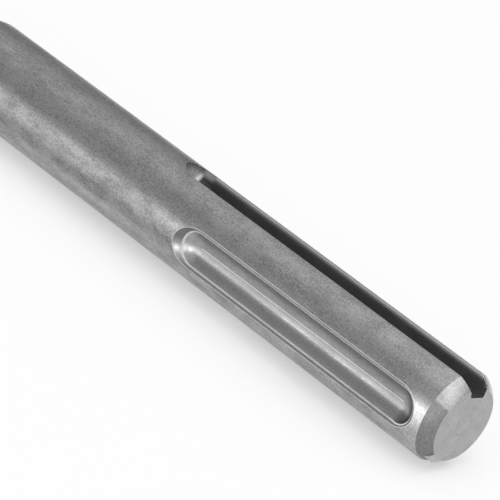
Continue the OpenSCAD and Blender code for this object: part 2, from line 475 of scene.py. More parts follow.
@dataclass(frozen=True)
class MetalFinish:
    """A bare metal surface: how bright, how rough and how mottled it is."""

    name: str
    dark: float = 0.25
    light: float = 0.51
    tone_span: tuple[float, float] = (0.4, 0.6)
    tint: tuple[float, float, float] = (1.0, 1.0, 1.01)
    roughness: float = 0.36
    roughness_swing: float = 0.14
    rough_span: tuple[float, float] = (0.3, 0.7)
    grain: float = 3300.0
    patch: float = 420.0
    pits: float = 0.5
    bump: float = 0.5
    bump_depth: float = 0.00004
    edge_radius: float = 0.00009
    worn: float = 0.7
    metallic: float = 1.0

    def build(self, effects: Effects) -> bpy.types.Material:
        """Makes the material.

        Args:
            effects: The shared node groups.

        Returns:
            The finished material.
        """
        material = bpy.data.materials.new(self.name)
        material.use_nodes = True
        bench = NodeBench(material.node_tree)
        blast = bench.group(effects.blast, Grain=self.grain, Patch=self.patch, Pits=self.pits)
        edge = bench.group(effects.edge, Radius=self.edge_radius)
        tone = bench.span(blast["Tone"], *self.tone_span, self.dark, self.light)
        smooth = self.roughness - self.roughness_swing / 2
        rough = bench.span(blast["Patch"], *self.rough_span, smooth + self.roughness_swing, smooth)
        marks = self.detail(bench, effects, Marks(tone, blast["Height"], rough))
        tone = bench.blend(edge["Worn"], marks.tone, self.worn)
        grey = bench.add("ShaderNodeCombineColor", {0: tone, 1: tone, 2: tone}).outputs[0]
        tinted = {0: 1.0, 6: grey, 7: (*self.tint, 1.0)}
        colour = bench.add("ShaderNodeMix", tinted, data_type="RGBA", blend_type="MULTIPLY").outputs[2]
        relief = {"Strength": self.bump, "Distance": self.bump_depth, "Height": marks.height}
        bump = bench.add("ShaderNodeBump", {**relief, "Normal": edge["Normal"]}).outputs[0]
        surface = {"Base Color": colour, "Roughness": marks.rough, "Normal": bump, "Metallic": self.metallic}
        shader = bench.add("ShaderNodeBsdfPrincipled", surface).outputs[0]
        bench.add("ShaderNodeOutputMaterial", {"Surface": shader})
        return material

    def detail(self, bench: NodeBench, effects: Effects, marks: Marks) -> Marks:
        """Adds the marks that only this finish has; none here.

        Args:
            bench: The material's bench.
            effects: The shared node groups.
            marks: The marks so far.

        Returns:
            The marks with its own ones.
        """
        return marks


@dataclass(frozen=True)
class BlastedFinish(MetalFinish):
    """Blasted steel that the holder has rubbed brighter and smoother near the end face, with a painted
    highlight there.
    """

    rubbed_full: float = 0.0045
    rubbed_none: float = 0.0085
    rubbed_tone: float = 0.07
    rubbed_calm: float = 0.5
    calm_height: float = 0.15
    painted_highlight_turn: float = math.radians(80)
    painted_highlight_full: float = math.radians(6)
    painted_highlight_none: float = math.radians(22)
    painted_highlight_tone: float = 0.34
    streak_turn: float = math.radians(102)
    streak_full: float = math.radians(4)
    streak_none: float = math.radians(14)
    streak_start: tuple[float, float] = (0.0600, 0.0640)
    streak_end: tuple[float, float] = (0.1162, 0.1262)
    streak_share: float = 0.3

    def detail(self, bench: NodeBench, effects: Effects, marks: Marks) -> Marks:
        """Rubs the end of the shank, paints a highlight on it, and darkens a streak behind the near recess.

        Args:
            bench: The material's bench.
            effects: The shared node groups.
            marks: The marks so far.

        Returns:
            The marks with the rubbed end and the streak.
        """
        place = bench.group(effects.axis_distance)
        rubbed = bench.fall(place["Along"], self.rubbed_full, self.rubbed_none)
        # Painted highlight: a stripe of extra brightness at one turn about the axis, only on the rubbed end.
        shine = bench.stripe(place["Turn"], self.painted_highlight_turn, self.painted_highlight_full, self.painted_highlight_none)
        shine = bench.times(rubbed, shine)
        tone = bench.plus(marks.tone, bench.times(rubbed, self.rubbed_tone))
        tone = bench.plus(tone, bench.times(shine, self.painted_highlight_tone))
        sides = (self.streak_turn, self.streak_full, self.streak_none, self.streak_share)
        streak = bench.stripe(place["Turn"], *sides)
        streak = bench.times(streak, bench.span(place["Along"], *self.streak_start))
        streak = bench.times(streak, bench.fall(place["Along"], *self.streak_end))
        tone = bench.times(tone, bench.minus(1.0, streak))
        calm = bench.math("MAXIMUM", shine, bench.times(rubbed, self.rubbed_calm))
        height = bench.times(marks.height, bench.span(calm, 0.0, 1.0, 1.0, self.calm_height))
        return marks._replace(tone=tone, height=height)


@dataclass(frozen=True)
class TurnedFinish(MetalFinish):
    """A faced or chamfered surface with the rings of a lathe tool."""

    pitch: float = 3000.0
    ring_height: float = 1.2
    ring_tone: float = 0.14
    centre_ring: float = 0.0
    centre_wander: float = 0.0005
    centre_waves: float = 420.0
    centre_traced: tuple[float, float] = (0.35, 0.65)
    centre_half: tuple[float, float] = (0.00005, 0.0002)
    centre_tone: float = 0.08
    centre_depth: float = 1.2

    def detail(self, bench: NodeBench, effects: Effects, marks: Marks) -> Marks:
        """Adds the rings and, on an end face, the ring round the centre.

        Args:
            bench: The material's bench.
            effects: The shared node groups.
            marks: The marks so far.

        Returns:
            The marks with the rings.
        """
        rings = bench.group(effects.rings, Pitch=self.pitch)["Height"]
        tone = bench.plus(marks.tone, bench.times(rings, self.ring_tone))
        height = bench.plus(marks.height, bench.times(rings, self.ring_height))
        if self.centre_ring:
            reach = bench.group(effects.axis_distance)["Distance"]
            reach = bench.plus(reach, bench.times(rings, self.centre_wander))
            traced = bench.noise(bench.spot(), self.centre_waves, detail=1.0, roughness=0.5)
            traced = bench.span(traced, *self.centre_traced)
            groove = bench.times(bench.stripe(reach, self.centre_ring, *self.centre_half), traced)
            tone = bench.minus(tone, bench.times(groove, self.centre_tone))
            height = bench.minus(height, bench.times(groove, self.centre_depth))
        return marks._replace(tone=tone, height=height)


@dataclass(frozen=True)
class PaintedShadeChamferFinish(TurnedFinish):
    """A turned chamfer with painted shade over the side past one turn about the axis, and painted light on
    the side beyond the deep slot.
    """

    painted_shade_turns: tuple[float, float] = (math.radians(60), math.radians(63))
    painted_shade_tone: float = 0.62
    painted_shade_rough: float = 0.2
    fray_waves: float = 900.0
    fray_swing: float = 0.1
    mottle_waves: float = 2600.0
    mottle_span: tuple[float, float] = (0.35, 0.65)
    mottle_swing: float = 0.12
    painted_light_turn: float = math.radians(-8)
    painted_light_tone: float = 0.22

    def detail(self, bench: NodeBench, effects: Effects, marks: Marks) -> Marks:
        """Adds the rings, the painted shade and the painted light on the side beyond the deep slot.

        Args:
            bench: The material's bench.
            effects: The shared node groups.
            marks: The marks so far.

        Returns:
            The marks with the rings, the painted shade and the painted light.
        """
        marks = super().detail(bench, effects, marks)
        turn = bench.group(effects.axis_distance)["Turn"]
        spot = bench.spot()
        frayed = bench.noise(spot, self.fray_waves, detail=2.0, roughness=0.6)
        frayed = bench.plus(turn, bench.times(frayed, self.fray_swing))
        # Painted shade: the chamfer is darkened and mottled past this turn about the axis, with a frayed
        # edge.
        scale = bench.span(frayed, *self.painted_shade_turns)
        darkest = self.painted_shade_tone * (1 - self.mottle_swing)
        palest = self.painted_shade_tone * (1 + self.mottle_swing)
        fine = bench.noise(spot, self.mottle_waves, detail=3.0, roughness=0.7)
        mottled = bench.span(fine, *self.mottle_span, darkest, palest)
        tone = bench.times(marks.tone, bench.blend(scale, 1.0, mottled))
        # Painted light on the side beyond the deep slot.
        tone = bench.plus(tone, bench.span(turn, self.painted_light_turn, 0.0, self.painted_light_tone, 0.0))
        rough = bench.plus(marks.rough, bench.times(scale, self.painted_shade_rough))
        return marks._replace(tone=tone, rough=rough)


@dataclass(frozen=True)
class ReliefFinish(MetalFinish):
    """The relief round a locking recess, with painted shade on one half of each rounded end and painted
    light on the other.
    """

    middle: float = 0.034
    end_from: float = 0.0262
    end_full: float = 0.0276
    lean_span: tuple[float, float] = (-0.0012, 0.0006)
    painted_relief_shade_tone: float = 0.55
    painted_relief_light_tone: float = 0.02

    def detail(self, bench: NodeBench, effects: Effects, marks: Marks) -> Marks:
        """Paints shade on one half of each rounded end and light on the other.

        Args:
            bench: The material's bench.
            effects: The shared node groups.
            marks: The marks so far.

        Returns:
            The marks with the painted shade and the painted light.
        """
        parts = bench.parts()
        shift = bench.minus(parts[0], self.middle)
        ends = bench.span(bench.math("ABSOLUTE", shift), self.end_from, self.end_full)
        lean = bench.times(parts[2], bench.math("DIVIDE", shift, self.end_full))
        # Painted shade on the upper half of the far end and the lower half of the near end; painted light on
        # the other halves.
        painted_relief_shade = bench.times(ends, bench.span(lean, *self.lean_span))
        painted_relief_light = bench.times(bench.minus(ends, painted_relief_shade), self.painted_relief_light_tone)
        tone = bench.times(marks.tone, bench.span(painted_relief_shade, 0.0, 1.0, 1.0, self.painted_relief_shade_tone))
        return marks._replace(tone=bench.plus(tone, painted_relief_light))


@dataclass(frozen=True)
class TroughFinish(MetalFinish):
    """The pressed trough of a locking recess, with a fine bright raised line along its bottom."""

    fine_line_start: tuple[float, float] = (0.0087, 0.0090)
    fine_line_end: tuple[float, float] = (0.0596, 0.0599)
    fine_line_z: float = 0.00006
    fine_line_half: tuple[float, float] = (0.00006, 0.00013)
    fine_line_tone: float = 0.3
    fine_line_height: float = 1.5
    painted_highlight_band_z: float = -0.0007
    painted_highlight_band_half: tuple[float, float] = (0.00027, 0.0009)
    painted_highlight_band_tone: float = 0.13
    shade_from: float = 0.0062
    shade_none: float = 0.0090
    shade_tone: float = 0.5

    def detail(self, bench: NodeBench, effects: Effects, marks: Marks) -> Marks:
        """Adds the fine line along the bottom, a painted highlight band under it and painted shade on the
        near end.

        Args:
            bench: The material's bench.
            effects: The shared node groups.
            marks: The marks so far.

        Returns:
            The marks with the line, the painted highlight and the painted shade.
        """
        parts = bench.parts()
        # A fine bright raised line along the trough's bottom.
        line = bench.stripe(parts[2], self.fine_line_z, *self.fine_line_half)
        line = bench.times(line, bench.span(parts[0], *self.fine_line_start))
        line = bench.times(line, bench.fall(parts[0], *self.fine_line_end))
        tone = bench.plus(marks.tone, bench.times(line, self.fine_line_tone))
        # Painted highlight: a brighter band at one height in the trough.
        painted_highlight_band = bench.stripe(parts[2], self.painted_highlight_band_z, *self.painted_highlight_band_half)
        tone = bench.plus(tone, bench.times(painted_highlight_band, self.painted_highlight_band_tone))
        # Painted shade on the near end of the trough.
        shade = bench.span(parts[0], self.shade_from, self.shade_none, self.shade_tone, 1.0)
        height = bench.plus(marks.height, bench.times(line, self.fine_line_height))
        return marks._replace(tone=bench.times(tone, shade), height=height)


@dataclass(frozen=True)
class RimFinish(MetalFinish):
    """The burnished rim of a locking recess, with painted light on its near end."""

    painted_rim_light_full: float = 0.0055
    painted_rim_light_none: float = 0.0100
    painted_rim_light_tone: float = 0.42

    def detail(self, bench: NodeBench, effects: Effects, marks: Marks) -> Marks:
        """Paints light on the near end.

        Args:
            bench: The material's bench.
            effects: The shared node groups.
            marks: The marks so far.

        Returns:
            The marks with the painted light on the near end.
        """
        along = bench.group(effects.axis_distance)["Along"]
        # Painted light on the near end of the rim.
        bright = bench.fall(along, self.painted_rim_light_full, self.painted_rim_light_none, self.painted_rim_light_tone)
        return marks._replace(tone=bench.plus(marks.tone, bright))


@dataclass(frozen=True)
class DarkDepthFinish(MetalFinish):
    """The flanks of a drive slot: their own tone at the top and darker lower down."""

    bare_from: float = 0.00745
    bare_to: float = 0.00835
    depth_tone: float = 0.2

    def detail(self, bench: NodeBench, effects: Effects, marks: Marks) -> Marks:
        """Darkens what lies deep in the slot.

        Args:
            bench: The material's bench.
            effects: The shared node groups.
            marks: The marks so far.

        Returns:
            The marks, darker deep in the slot.
        """
        reach = bench.group(effects.axis_distance)["Distance"]
        # Darker deeper in the slot, by distance from the axis.
        bare = bench.span(reach, self.bare_from, self.bare_to)
        bare = bench.times(bare, bare)
        return marks._replace(tone=bench.blend(bare, self.depth_tone, marks.tone))


@dataclass(frozen=True)
class BrokenEdgeFinish(DarkDepthFinish):
    """The broken edge of the deep slot, darker below, with a fine bright line along it that is partly
    burnished wear and partly a painted highlight of the edge.
    """

    wear_and_glint_line_reach: float = 0.00869
    wear_and_glint_line_half: tuple[float, float] = (0.000025, 0.00005)
    wear_and_glint_line_tone: float = 0.68

    def detail(self, bench: NodeBench, effects: Effects, marks: Marks) -> Marks:
        """Blackens the lower part and adds the bright line.

        Args:
            bench: The material's bench.
            effects: The shared node groups.
            marks: The marks so far.

        Returns:
            The marks, darker below, with the line.
        """
        marks = super().detail(bench, effects, marks)
        reach = bench.group(effects.axis_distance)["Distance"]
        # The bright line is partly burnished wear and partly a painted highlight of the edge.
        line = bench.stripe(reach, self.wear_and_glint_line_reach, *self.wear_and_glint_line_half)
        return marks._replace(tone=bench.blend(line, marks.tone, self.wear_and_glint_line_tone))


@dataclass(frozen=True)
class RunoutFinish(DarkDepthFinish):
    """The rounded end of the deep slot: darker at first, then a painted highlight and matt steel."""

    painted_glint_from: float = 0.0716
    painted_glint_to: float = 0.0722
    painted_glint_reach: float = 0.0076
    painted_glint_tone: float = 0.6
    soft: float = 0.0006
    top_tone: float = 0.42

    def detail(self, bench: NodeBench, effects: Effects, marks: Marks) -> Marks:
        """Darkens the start, paints a highlight and leaves the top of the walls bare.

        Args:
            bench: The material's bench.
            effects: The shared node groups.
            marks: The marks so far.

        Returns:
            The marks, darker at the start, with the painted highlight.
        """
        place = bench.group(effects.axis_distance)
        begun = bench.span(place["Along"], self.painted_glint_from, self.painted_glint_from + self.soft)
        ended = bench.fall(place["Along"], self.painted_glint_to, self.painted_glint_to + self.soft)
        deep = bench.fall(place["Distance"], self.painted_glint_reach, self.painted_glint_reach + self.soft)
        bare = bench.span(place["Distance"], self.bare_from, self.bare_to)
        # Painted highlight: a bright patch low in the rounded end.
        cut = bench.times(bench.times(begun, ended), deep)
        top = bench.blend(begun, self.top_tone, marks.tone)
        low = bench.blend(begun, self.depth_tone, marks.tone)
        walls = bench.blend(bare, low, top)
        return marks._replace(tone=bench.blend(cut, walls, self.painted_glint_tone))


@dataclass(frozen=True)
class Nick:
    """A small tear in an edge: its place, its height, its radius and its lean in degrees."""

    x: float
    height: float
    radius: float
    lean: float


@dataclass
class SteelBar:
    """The steel bar: a grooved shank, a shoulder and neck, and two helical flutes."""

    end_face_r: float = 7.13
    shank_r: float = 9.0
    shank_len: float = 126.3
    chamfer_len: float = 2.5
    chamfer_bulge_r: float = 7.0
    facet_extra: float = 0.6
    facet_turns: tuple[float, float, float, float] = (130.0, 150.0, 186.0, 205.0)
    shoulder_r: float = 9.5
    neck_r: float = 7.3
    neck_len: float = 2.4
    face_rings: int = 6
    chamfer_rings: int = 8
    bar_rings: int = 40
    shoulder_rings: int = 12
    recess_depth: float = 2.8
    recess_ball_r: float = 4.05
    recess_near: float = 8.75
    recess_far: float = 59.3
    relief_r: float = 8.7
    relief_depth: float = 1.8
    relief_near_shift: float = 0.95
    relief_far_shift: float = 0.1
    rim_round: float = 0.7
    rim_far_push: float = 0.45
    rim_push_ease: float = 0.5
    burr_r: float = 0.045
    burr_steps: int = 30
    burr_least_reach: float = 3.0
    burr_tries: int = 40
    rim_facets: int = 6
    trough_facets: int = 16
    relief_facets: int = 8
    bowl_steps: int = 94
    slot_floor: float = 5.35
    slot_w: float = 3.7
    slot_flare: float = 32.0
    slot_len: float = 69.2
    slot_end_reach: float = 5.05
    slot_end_r: float = 3.05
    slot_end_shift: float = 0.55
    slot_end_rings: int = 20
    slot_end_steps: int = 96
    slot_turn: float = 7.0
    slot_break: float = 8.1
    slot_break_lean: float = 40.0
    side_slot_floor: float = 7.3
    side_slot_w: float = 3.4
    side_slot_len: float = 70.0
    side_slot_steps: int = 24
    side_slot_turns: tuple[float, float] = (136.0, 171.0)
    lip_flat: float = 7.2
    lip_reach: float = 4.3
    lip_len: float = 2.0
    lip_turn: float = 186.7
    nicks: tuple[Nick, ...] = (Nick(0.6, 7.35, 0.26, 20.0), Nick(1.7, 8.2, 0.2, 10.0))
    nick_depth: float = 0.05
    nick_shape: tuple[float, float, float] = (1.0, 0.7, 1.3)
    flute_r: float = 9.3
    core_r: float = 5.5
    flute_lead: float = 50.0
    land_half: float = 29.0
    carrying_flank: float = 22.0
    trailing_flank: float = 38.0
    land_rise: float = 6.0
    groove_fade: float = 16.0
    total_len: float = 320.0
    half_point: float = 65.0
    point_radii: tuple[float, ...] = (7.6, 5.9, 4.2, 2.5, 1.0)
    straighten_len: float = 16.0
    plate_proud: float = 1.4
    plate_t: float = 4.6
    plate_h: float = 13.0
    braze_gap: float = 0.15
    over: float = 1.0
    segments: int = 200
    ring_pitch: float = 0.8
    finishes: dict[str, bpy.types.Material] = field(default_factory=dict)

    def __post_init__(self) -> None:
        """Works out the places that follow from the sizes."""
        drop = self.shank_r - self.neck_r
        self.shoulder_len = math.sqrt(self.shoulder_r**2 - (self.shoulder_r - drop) ** 2)
        self.neck_end = self.shank_len + self.shoulder_len + self.neck_len
        self.relief_axis = self.shank_r - self.relief_depth + self.relief_r
        self.seat_x = self.total_len - self.plate_h
        self.cone_apex = self.total_len - self.plate_proud
        self.straight_x = self.seat_x - self.over
        self.helix_end = self.straight_x - self.straighten_len
        self.point_slope = math.tan(math.radians(self.half_point))

    def arc(self, centre: Vector, radius: float, start: Vector, end: Vector, count: int) -> Pairs:
        """Gives the points of a short arc in the profile's plane.

        Args:
            centre: The arc's centre, as place along X and radius.
            radius: The arc's radius.
            start: The first point, which is included.
            end: The last point, which is included.
            count: The number of chords.

        Returns:
            The points from start to end.
        """
        first = math.atan2(start.y - centre.y, start.x - centre.x)
        last = math.atan2(end.y - centre.y, end.x - centre.x)
        angles = [first + (last - first) * k / count for k in range(count + 1)]
        return [tuple(centre + radius * Vector((math.cos(a), math.sin(a)))) for a in angles]

    def blank_profile(self) -> Pairs:
        """Gives the turned outline of the shank, shoulder and neck.

        Returns:
            Pairs of place along X and radius, from axis to axis.
        """
        rim = Vector((0.0, self.end_face_r))
        top = Vector((self.chamfer_len, self.shank_r))
        chord = top - rim
        back = math.sqrt(self.chamfer_bulge_r**2 - (chord.length / 2) ** 2)
        bulge = (rim + top) / 2 + Vector((chord.y, -chord.x)).normalized() * back
        face = [(0.0, self.end_face_r * k / self.face_rings) for k in range(self.face_rings)]
        chamfer = self.arc(bulge, self.chamfer_bulge_r, rim, top, self.chamfer_rings)
        start = self.chamfer_len + self.facet_extra
        places = [start + (self.shank_len - start) * k / self.bar_rings for k in range(self.bar_rings)]
        shoulder = self.arc(
            Vector((self.shank_len, self.shank_r - self.shoulder_r)),
            self.shoulder_r,
            Vector((self.shank_len, self.shank_r)),
            Vector((self.shank_len + self.shoulder_len, self.neck_r)),
            self.shoulder_rings,
        )
        neck = [(self.neck_end, self.neck_r), (self.neck_end, 0.0)]
        return face + chamfer + [(x, self.shank_r) for x in places] + shoulder + neck

    def recess_outline(self, back: float = 0.0) -> list[tuple[float, float, float]]:
        """Gives the section of a locking recess from its deepest point outwards.

        The trough and the relief are arcs, and an arc of rim_round rounds the edge between them.

        Args:
            back: The distance that the relief's centre lies behind the trough's.

        Returns:
            Corners as the distance from the middle line, the distance from the shank's axis, and
            a share that is 0 in the trough and 1 in the relief.
        """
        low = self.shank_r - self.recess_depth + self.recess_ball_r
        high = self.relief_axis
        reach_low = self.recess_ball_r + self.rim_round
        reach_high = self.relief_r + self.rim_round
        gap = math.hypot(back, high - low)
        ahead = Vector((-back, high - low)) / gap
        along = (reach_low**2 - reach_high**2 + gap**2) / (2 * gap)
        across = math.sqrt(reach_low**2 - along**2)
        rim = Vector((0.0, low)) + along * ahead + across * Vector((ahead.y, -ahead.x))
        from_low = math.atan2(rim.x, low - rim.y)
        from_high = math.atan2(rim.x + back, high - rim.y)
        corners = []
        for k in range(self.trough_facets + 1):
            a = from_low * k / self.trough_facets
            rho = self.recess_ball_r * math.sin(a)
            corners.append((rho, low - self.recess_ball_r * math.cos(a), 0.0))
        for k in range(1, self.rim_facets + 1):
            share = k / self.rim_facets
            a = from_low + (from_high - from_low) * share
            rho = rim.x - self.rim_round * math.sin(a)
            corners.append((rho, rim.y + self.rim_round * math.cos(a), share))
        top = math.acos((high - self.shank_r - self.over) / self.relief_r)
        for k in range(1, self.relief_facets + 1):
            a = from_high + (top - from_high) * k / self.relief_facets
            rho = self.relief_r * math.sin(a) - back
            corners.append((rho, high - self.relief_r * math.cos(a), 1.0))
        return corners + [(0.0, self.shank_r + self.over, 1.0)]

    def recess_cutter(self, side: Side) -> Piece:
        """Makes the cutter of one locking recess: a bowl, pulled out lengthwise.

        Args:
            side: The face of the shank that is cut.

        Returns:
            The cutter, with trough, rim and relief in finishes of their own.
        """
        outline = self.recess_outline()
        points = [Vector((rho, side.value * height, 0.0)) for rho, height, _ in outline]
        bowl = spun("recess_cutter", points, Vector((0, 1, 0)), Vector((0, 0, 0)), self.bowl_steps)
        heights = np.array([height for _, height, _ in outline])
        shares = [share for _, _, share in outline]
        for key in ("trough", "rim", "relief"):
            bowl.data.materials.append(self.finishes[key])
        for face in bowl.data.polygons:
            share = float(np.interp(abs(face.center.y) / MM, heights, shares))
            face.material_index = 0 if share <= 0 else 2 if share >= 1 else 1
        rim_low = heights[self.trough_facets]
        rim_high = heights[self.trough_facets + self.rim_facets]
        push_heights = (rim_low - self.rim_push_ease, rim_low, rim_high, self.shank_r)
        for point in bowl.data.vertices:
            x, y, z = point.co / MM
            rho = math.hypot(x, z)
            if x > 0:
                share = float(np.interp(abs(y), heights, shares))
                push = float(np.interp(abs(y), push_heights, (0.0, 1.0, 1.0, 0.0)))
                shift = self.recess_far + self.relief_far_shift * share + self.rim_far_push * push
                point.co.x += shift * MM
                continue
            if rho > 1e-3:
                corner = int(np.argmin(abs(heights[:-1] - abs(y))))
                wanted, height, _ = self.recess_outline(-self.relief_near_shift * x / rho)[corner]
                point.co = Vector((x * wanted / rho, side.value * height, z * wanted / rho)) * MM
            point.co.x += self.recess_near * MM
        return bowl

    def burr_reach(self, turn: float, back: float) -> float:
        """Finds how far the relief reaches out of the round bar in one direction.

        Args:
            turn: The direction, in radians from +X.
            back: The distance that the relief's centre lies behind.

        Returns:
            The reach from the end's middle, in millimetres.
        """
        near, far = self.burr_least_reach, self.relief_r - self.over - back
        for _ in range(self.burr_tries):
            rho = (near + far) / 2
            relief = self.relief_axis - math.sqrt(self.relief_r**2 - (rho + back) ** 2)
            sunk = relief < math.sqrt(self.shank_r**2 - (rho * math.sin(turn)) ** 2)
            near, far = (rho, far) if sunk else (near, rho)
        return rho

    def burr_loop(self, side: Side) -> Piece:
        """Lays the thin burnished burr along the outer edge of a locking recess.

        Args:
            side: The face of the shank that carries the recess.

        Returns:
            The closed thin ridge.
        """
        corners = []
        for k in range(2 * self.burr_steps + 1):
            at_near_end = k > self.burr_steps
            turn = math.radians(-90 + 180 / self.burr_steps * (k - 1 if at_near_end else k))
            middle, back = self.recess_far + self.relief_far_shift, 0.0
            if at_near_end:
                middle, back = self.recess_near, -self.relief_near_shift * math.cos(turn)
            rho = self.burr_reach(turn, back)
            z = rho * math.sin(turn)
            y = side.value * math.sqrt(self.shank_r**2 - z**2)
            corners.append(Vector((middle + rho * math.cos(turn), y, z)) * MM)
        pick(draw_line("recess_burr", corners + [corners[0]]))
        bpy.ops.object.convert(target="CURVE")
        loop = bpy.context.object
        loop.data.bevel_depth = self.burr_r * MM
        loop.data.bevel_resolution = 2
        bpy.ops.object.convert(target="MESH")
        return self.wear(bpy.context.object, "rim")

    def prism(self, outline: Pairs, start: float, length: float, turn: float) -> Piece:
        """Extrudes a cross-section along the shank.

        Args:
            outline: Corners as pairs of reach towards -Y and height.
            start: The place of the first face.
            length: The length of the prism.
            turn: The turn about the axis, from straight up towards -Y.

        Returns:
            The closed prism.
        """
        swing = axis_turn(turn)
        corners = [swing @ Vector((start, -across, up)) * MM for across, up in outline]
        return extruded("prism", corners, Vector((length * MM, 0, 0)))

    def deep_slot_cutters(self) -> list[Piece]:
        """Makes the deep drive slot's cutters.

        Returns:
            The slot's prism, its egg-shaped end and its broken edge.
        """
        half = self.slot_w / 2
        top = self.shank_r + self.over
        idle = (top - self.slot_floor) * math.tan(math.radians(self.slot_flare))
        broken = (top - self.slot_break) * math.tan(math.radians(self.slot_break_lean))
        section = [(-half, self.slot_floor), (half, self.slot_floor), (half, top), (-half - idle, top)]
        edge = [(half, self.slot_break), (half + broken, top), (half - broken, top)]
        length = self.slot_len + self.over
        middle = Vector((0.0, self.slot_end_shift, self.slot_floor + self.slot_end_r))
        egg = [(self.slot_len, 0.0)]
        for k in range(self.slot_end_rings + 1):
            a = math.radians(90 - 90 / self.slot_end_rings * k)
            x = self.slot_len + self.slot_end_reach * math.cos(a)
            egg.append((x, self.slot_end_r * math.sin(a)))
        end = turned("slot_end", egg, self.slot_end_steps, axis_turn(self.slot_turn) @ middle)
        return [
            self.wear(self.prism(section, -self.over, length, self.slot_turn), "slot"),
            self.wear(end, "slot_end"),
            self.wear(self.prism(edge, -self.over, length, self.slot_turn), "slot_edge"),
        ]

    def burr_nicks(self) -> list[Piece]:
        """Makes the cutters that tear the driving edge where it leaves the chamfer.

        Returns:
            One small cutter for each nick.
        """
        cutters = []
        for nick in self.nicks:
            across = -self.slot_w / 2 - self.nick_depth
            place = axis_turn(self.slot_turn) @ Vector((nick.x, across, nick.height)) * MM
            deselect()
            bpy.ops.mesh.primitive_ico_sphere_add(
                subdivisions=2, radius=nick.radius * MM, location=place
            )
            cutter = bpy.context.object
            edit(cutter)
            bpy.ops.transform.resize(value=self.nick_shape, center_override=place)
            bpy.ops.transform.rotate(
                value=math.radians(nick.lean), orient_axis="X", center_override=place
            )
            bpy.ops.object.mode_set(mode="OBJECT")
            bpy.ops.object.transform_apply(location=True, rotation=True, scale=True)
            cutters.append(self.wear(cutter, "nick"))
        return cutters

    def forging_lip(self) -> Piece:
        """Makes the flat-bottomed corner that the forging left proud of the end chamfer."""
        flat, reach = self.lip_flat, self.lip_reach
        outline = [(0.0, 0.0), (0.0, flat), (reach, flat), (reach, 0.0)]
        return self.wear(self.prism(outline, 0.0, self.lip_len, self.lip_turn), "lip")

    def side_slot_cutter(self, turn: float) -> Piece:
        """Makes the cutter of one shallow drive slot with its rounded far end.

        Args:
            turn: The turn of the slot about the axis.

        Returns:
            The cutter.
        """
        half = self.side_slot_w / 2
        swing = axis_turn(turn)
        outline = [(-self.over, half)]
        for k in range(self.side_slot_steps + 1):
            a = math.radians(90 - 180 / self.side_slot_steps * k)
            outline.append((self.side_slot_len + half * math.cos(a), half * math.sin(a)))
        outline.append((-self.over, -half))
        corners = [swing @ Vector((x, y, self.side_slot_floor)) * MM for x, y in outline]
        lift = swing @ Vector((0, 0, self.shank_r * MM))
        return self.wear(extruded("side_slot", corners, lift), "slot")

    def flute_turn(self, x: float) -> float:
        """Gives the turn of the flutes at x, in degrees: a helix, then an easing to straight.

        Args:
            x: The place along the axis.

        Returns:
            The turn, which is 0 where the flutes are straight.
        """
        helix = min(x, self.helix_end) - self.helix_end
        eased = max(0.0, min(x, self.straight_x) - self.helix_end)
        run = helix + eased - eased**2 / (2 * self.straighten_len) - self.straighten_len / 2
        return run * 360 / self.flute_lead

    def groove_share(self, angle: float) -> float:
        """Gives the share of the groove's depth at an angle from a land's middle, in degrees."""
        if angle > 0:
            return ease((angle - self.land_half) / self.trailing_flank)
        return ease((-angle - self.land_half) / self.carrying_flank)

    def bar_radius(self, x: float, angle: float) -> float:
        """Gives the fluted bar's radius.

        Args:
            x: The place along the axis.
            angle: The angle from the middle of a land, in degrees.

        Returns:
            The radius, in millimetres.
        """
        risen = self.neck_r + (self.flute_r - self.neck_r) * ease((x - self.neck_end) / self.land_rise)
        land = min(risen, (self.cone_apex - x) * self.point_slope)
        sunk = (self.flute_r - self.core_r) * ease((x - self.neck_end) / self.groove_fade)
        return min(land, self.flute_r - sunk * self.groove_share(angle))

    def ring_places(self) -> list[float]:
        """Gives the places of the fluted bar's rings along the axis.

        Returns:
            The places from the neck to the point.
        """
        body_end = self.cone_apex - self.flute_r / self.point_slope
        count = round((body_end - self.neck_end) / self.ring_pitch)
        places = [self.neck_end + (body_end - self.neck_end) * k / count for k in range(count + 1)]
        return places + [self.cone_apex - r / self.point_slope for r in self.point_radii]

    def fluted_bar(self) -> Piece:
        """Draws out the fluted bar ring by ring and presses its grooves in.

        Returns:
            The closed bar, from the neck to the cone at the tip.
        """
        places = self.ring_places()
        deselect()
        bpy.ops.mesh.primitive_circle_add(
            vertices=self.segments,
            radius=self.neck_r * MM,
            location=(places[0] * MM, 0, 0),
            rotation=(0, math.pi / 2, 0),
            fill_type="NGON",
        )
        bar = bpy.context.object
        bpy.ops.object.transform_apply(location=True, rotation=True, scale=True)
        edit(bar)
        for start, end in zip(places, places[1:]):
            step = ((end - start) * MM, 0, 0)
            bpy.ops.mesh.extrude_region_move(TRANSFORM_OT_translate={"value": step})
        bpy.ops.object.mode_set(mode="OBJECT")
        self.press_grooves(bar)
        clean_shell(bar)
        return bar

    def press_grooves(self, bar: Piece) -> None:
        """Moves the points of a round bar in to the flutes' section, ring by ring.

        Args:
            bar: The round bar that is changed.
        """
        for point in bar.data.vertices:
            x = point.co.x / MM
            angle = math.degrees(math.atan2(point.co.z, point.co.y))
            from_land = (angle + 90) % 180 - 90
            radius = self.bar_radius(x, from_land) * MM
            place = math.radians(angle + self.flute_turn(x))
            point.co.y = radius * math.cos(place)
            point.co.z = radius * math.sin(place)

    def plate_slot_cutter(self) -> Piece:
        """Makes the cutter of the slot across the head."""
        half = self.plate_t / 2 + self.braze_gap
        reach = self.flute_r + self.over
        outline = [(-reach, -half), (reach, -half), (reach, half), (-reach, half)]
        return self.prism(outline, self.seat_x - self.braze_gap, self.plate_h + self.over, 0.0)

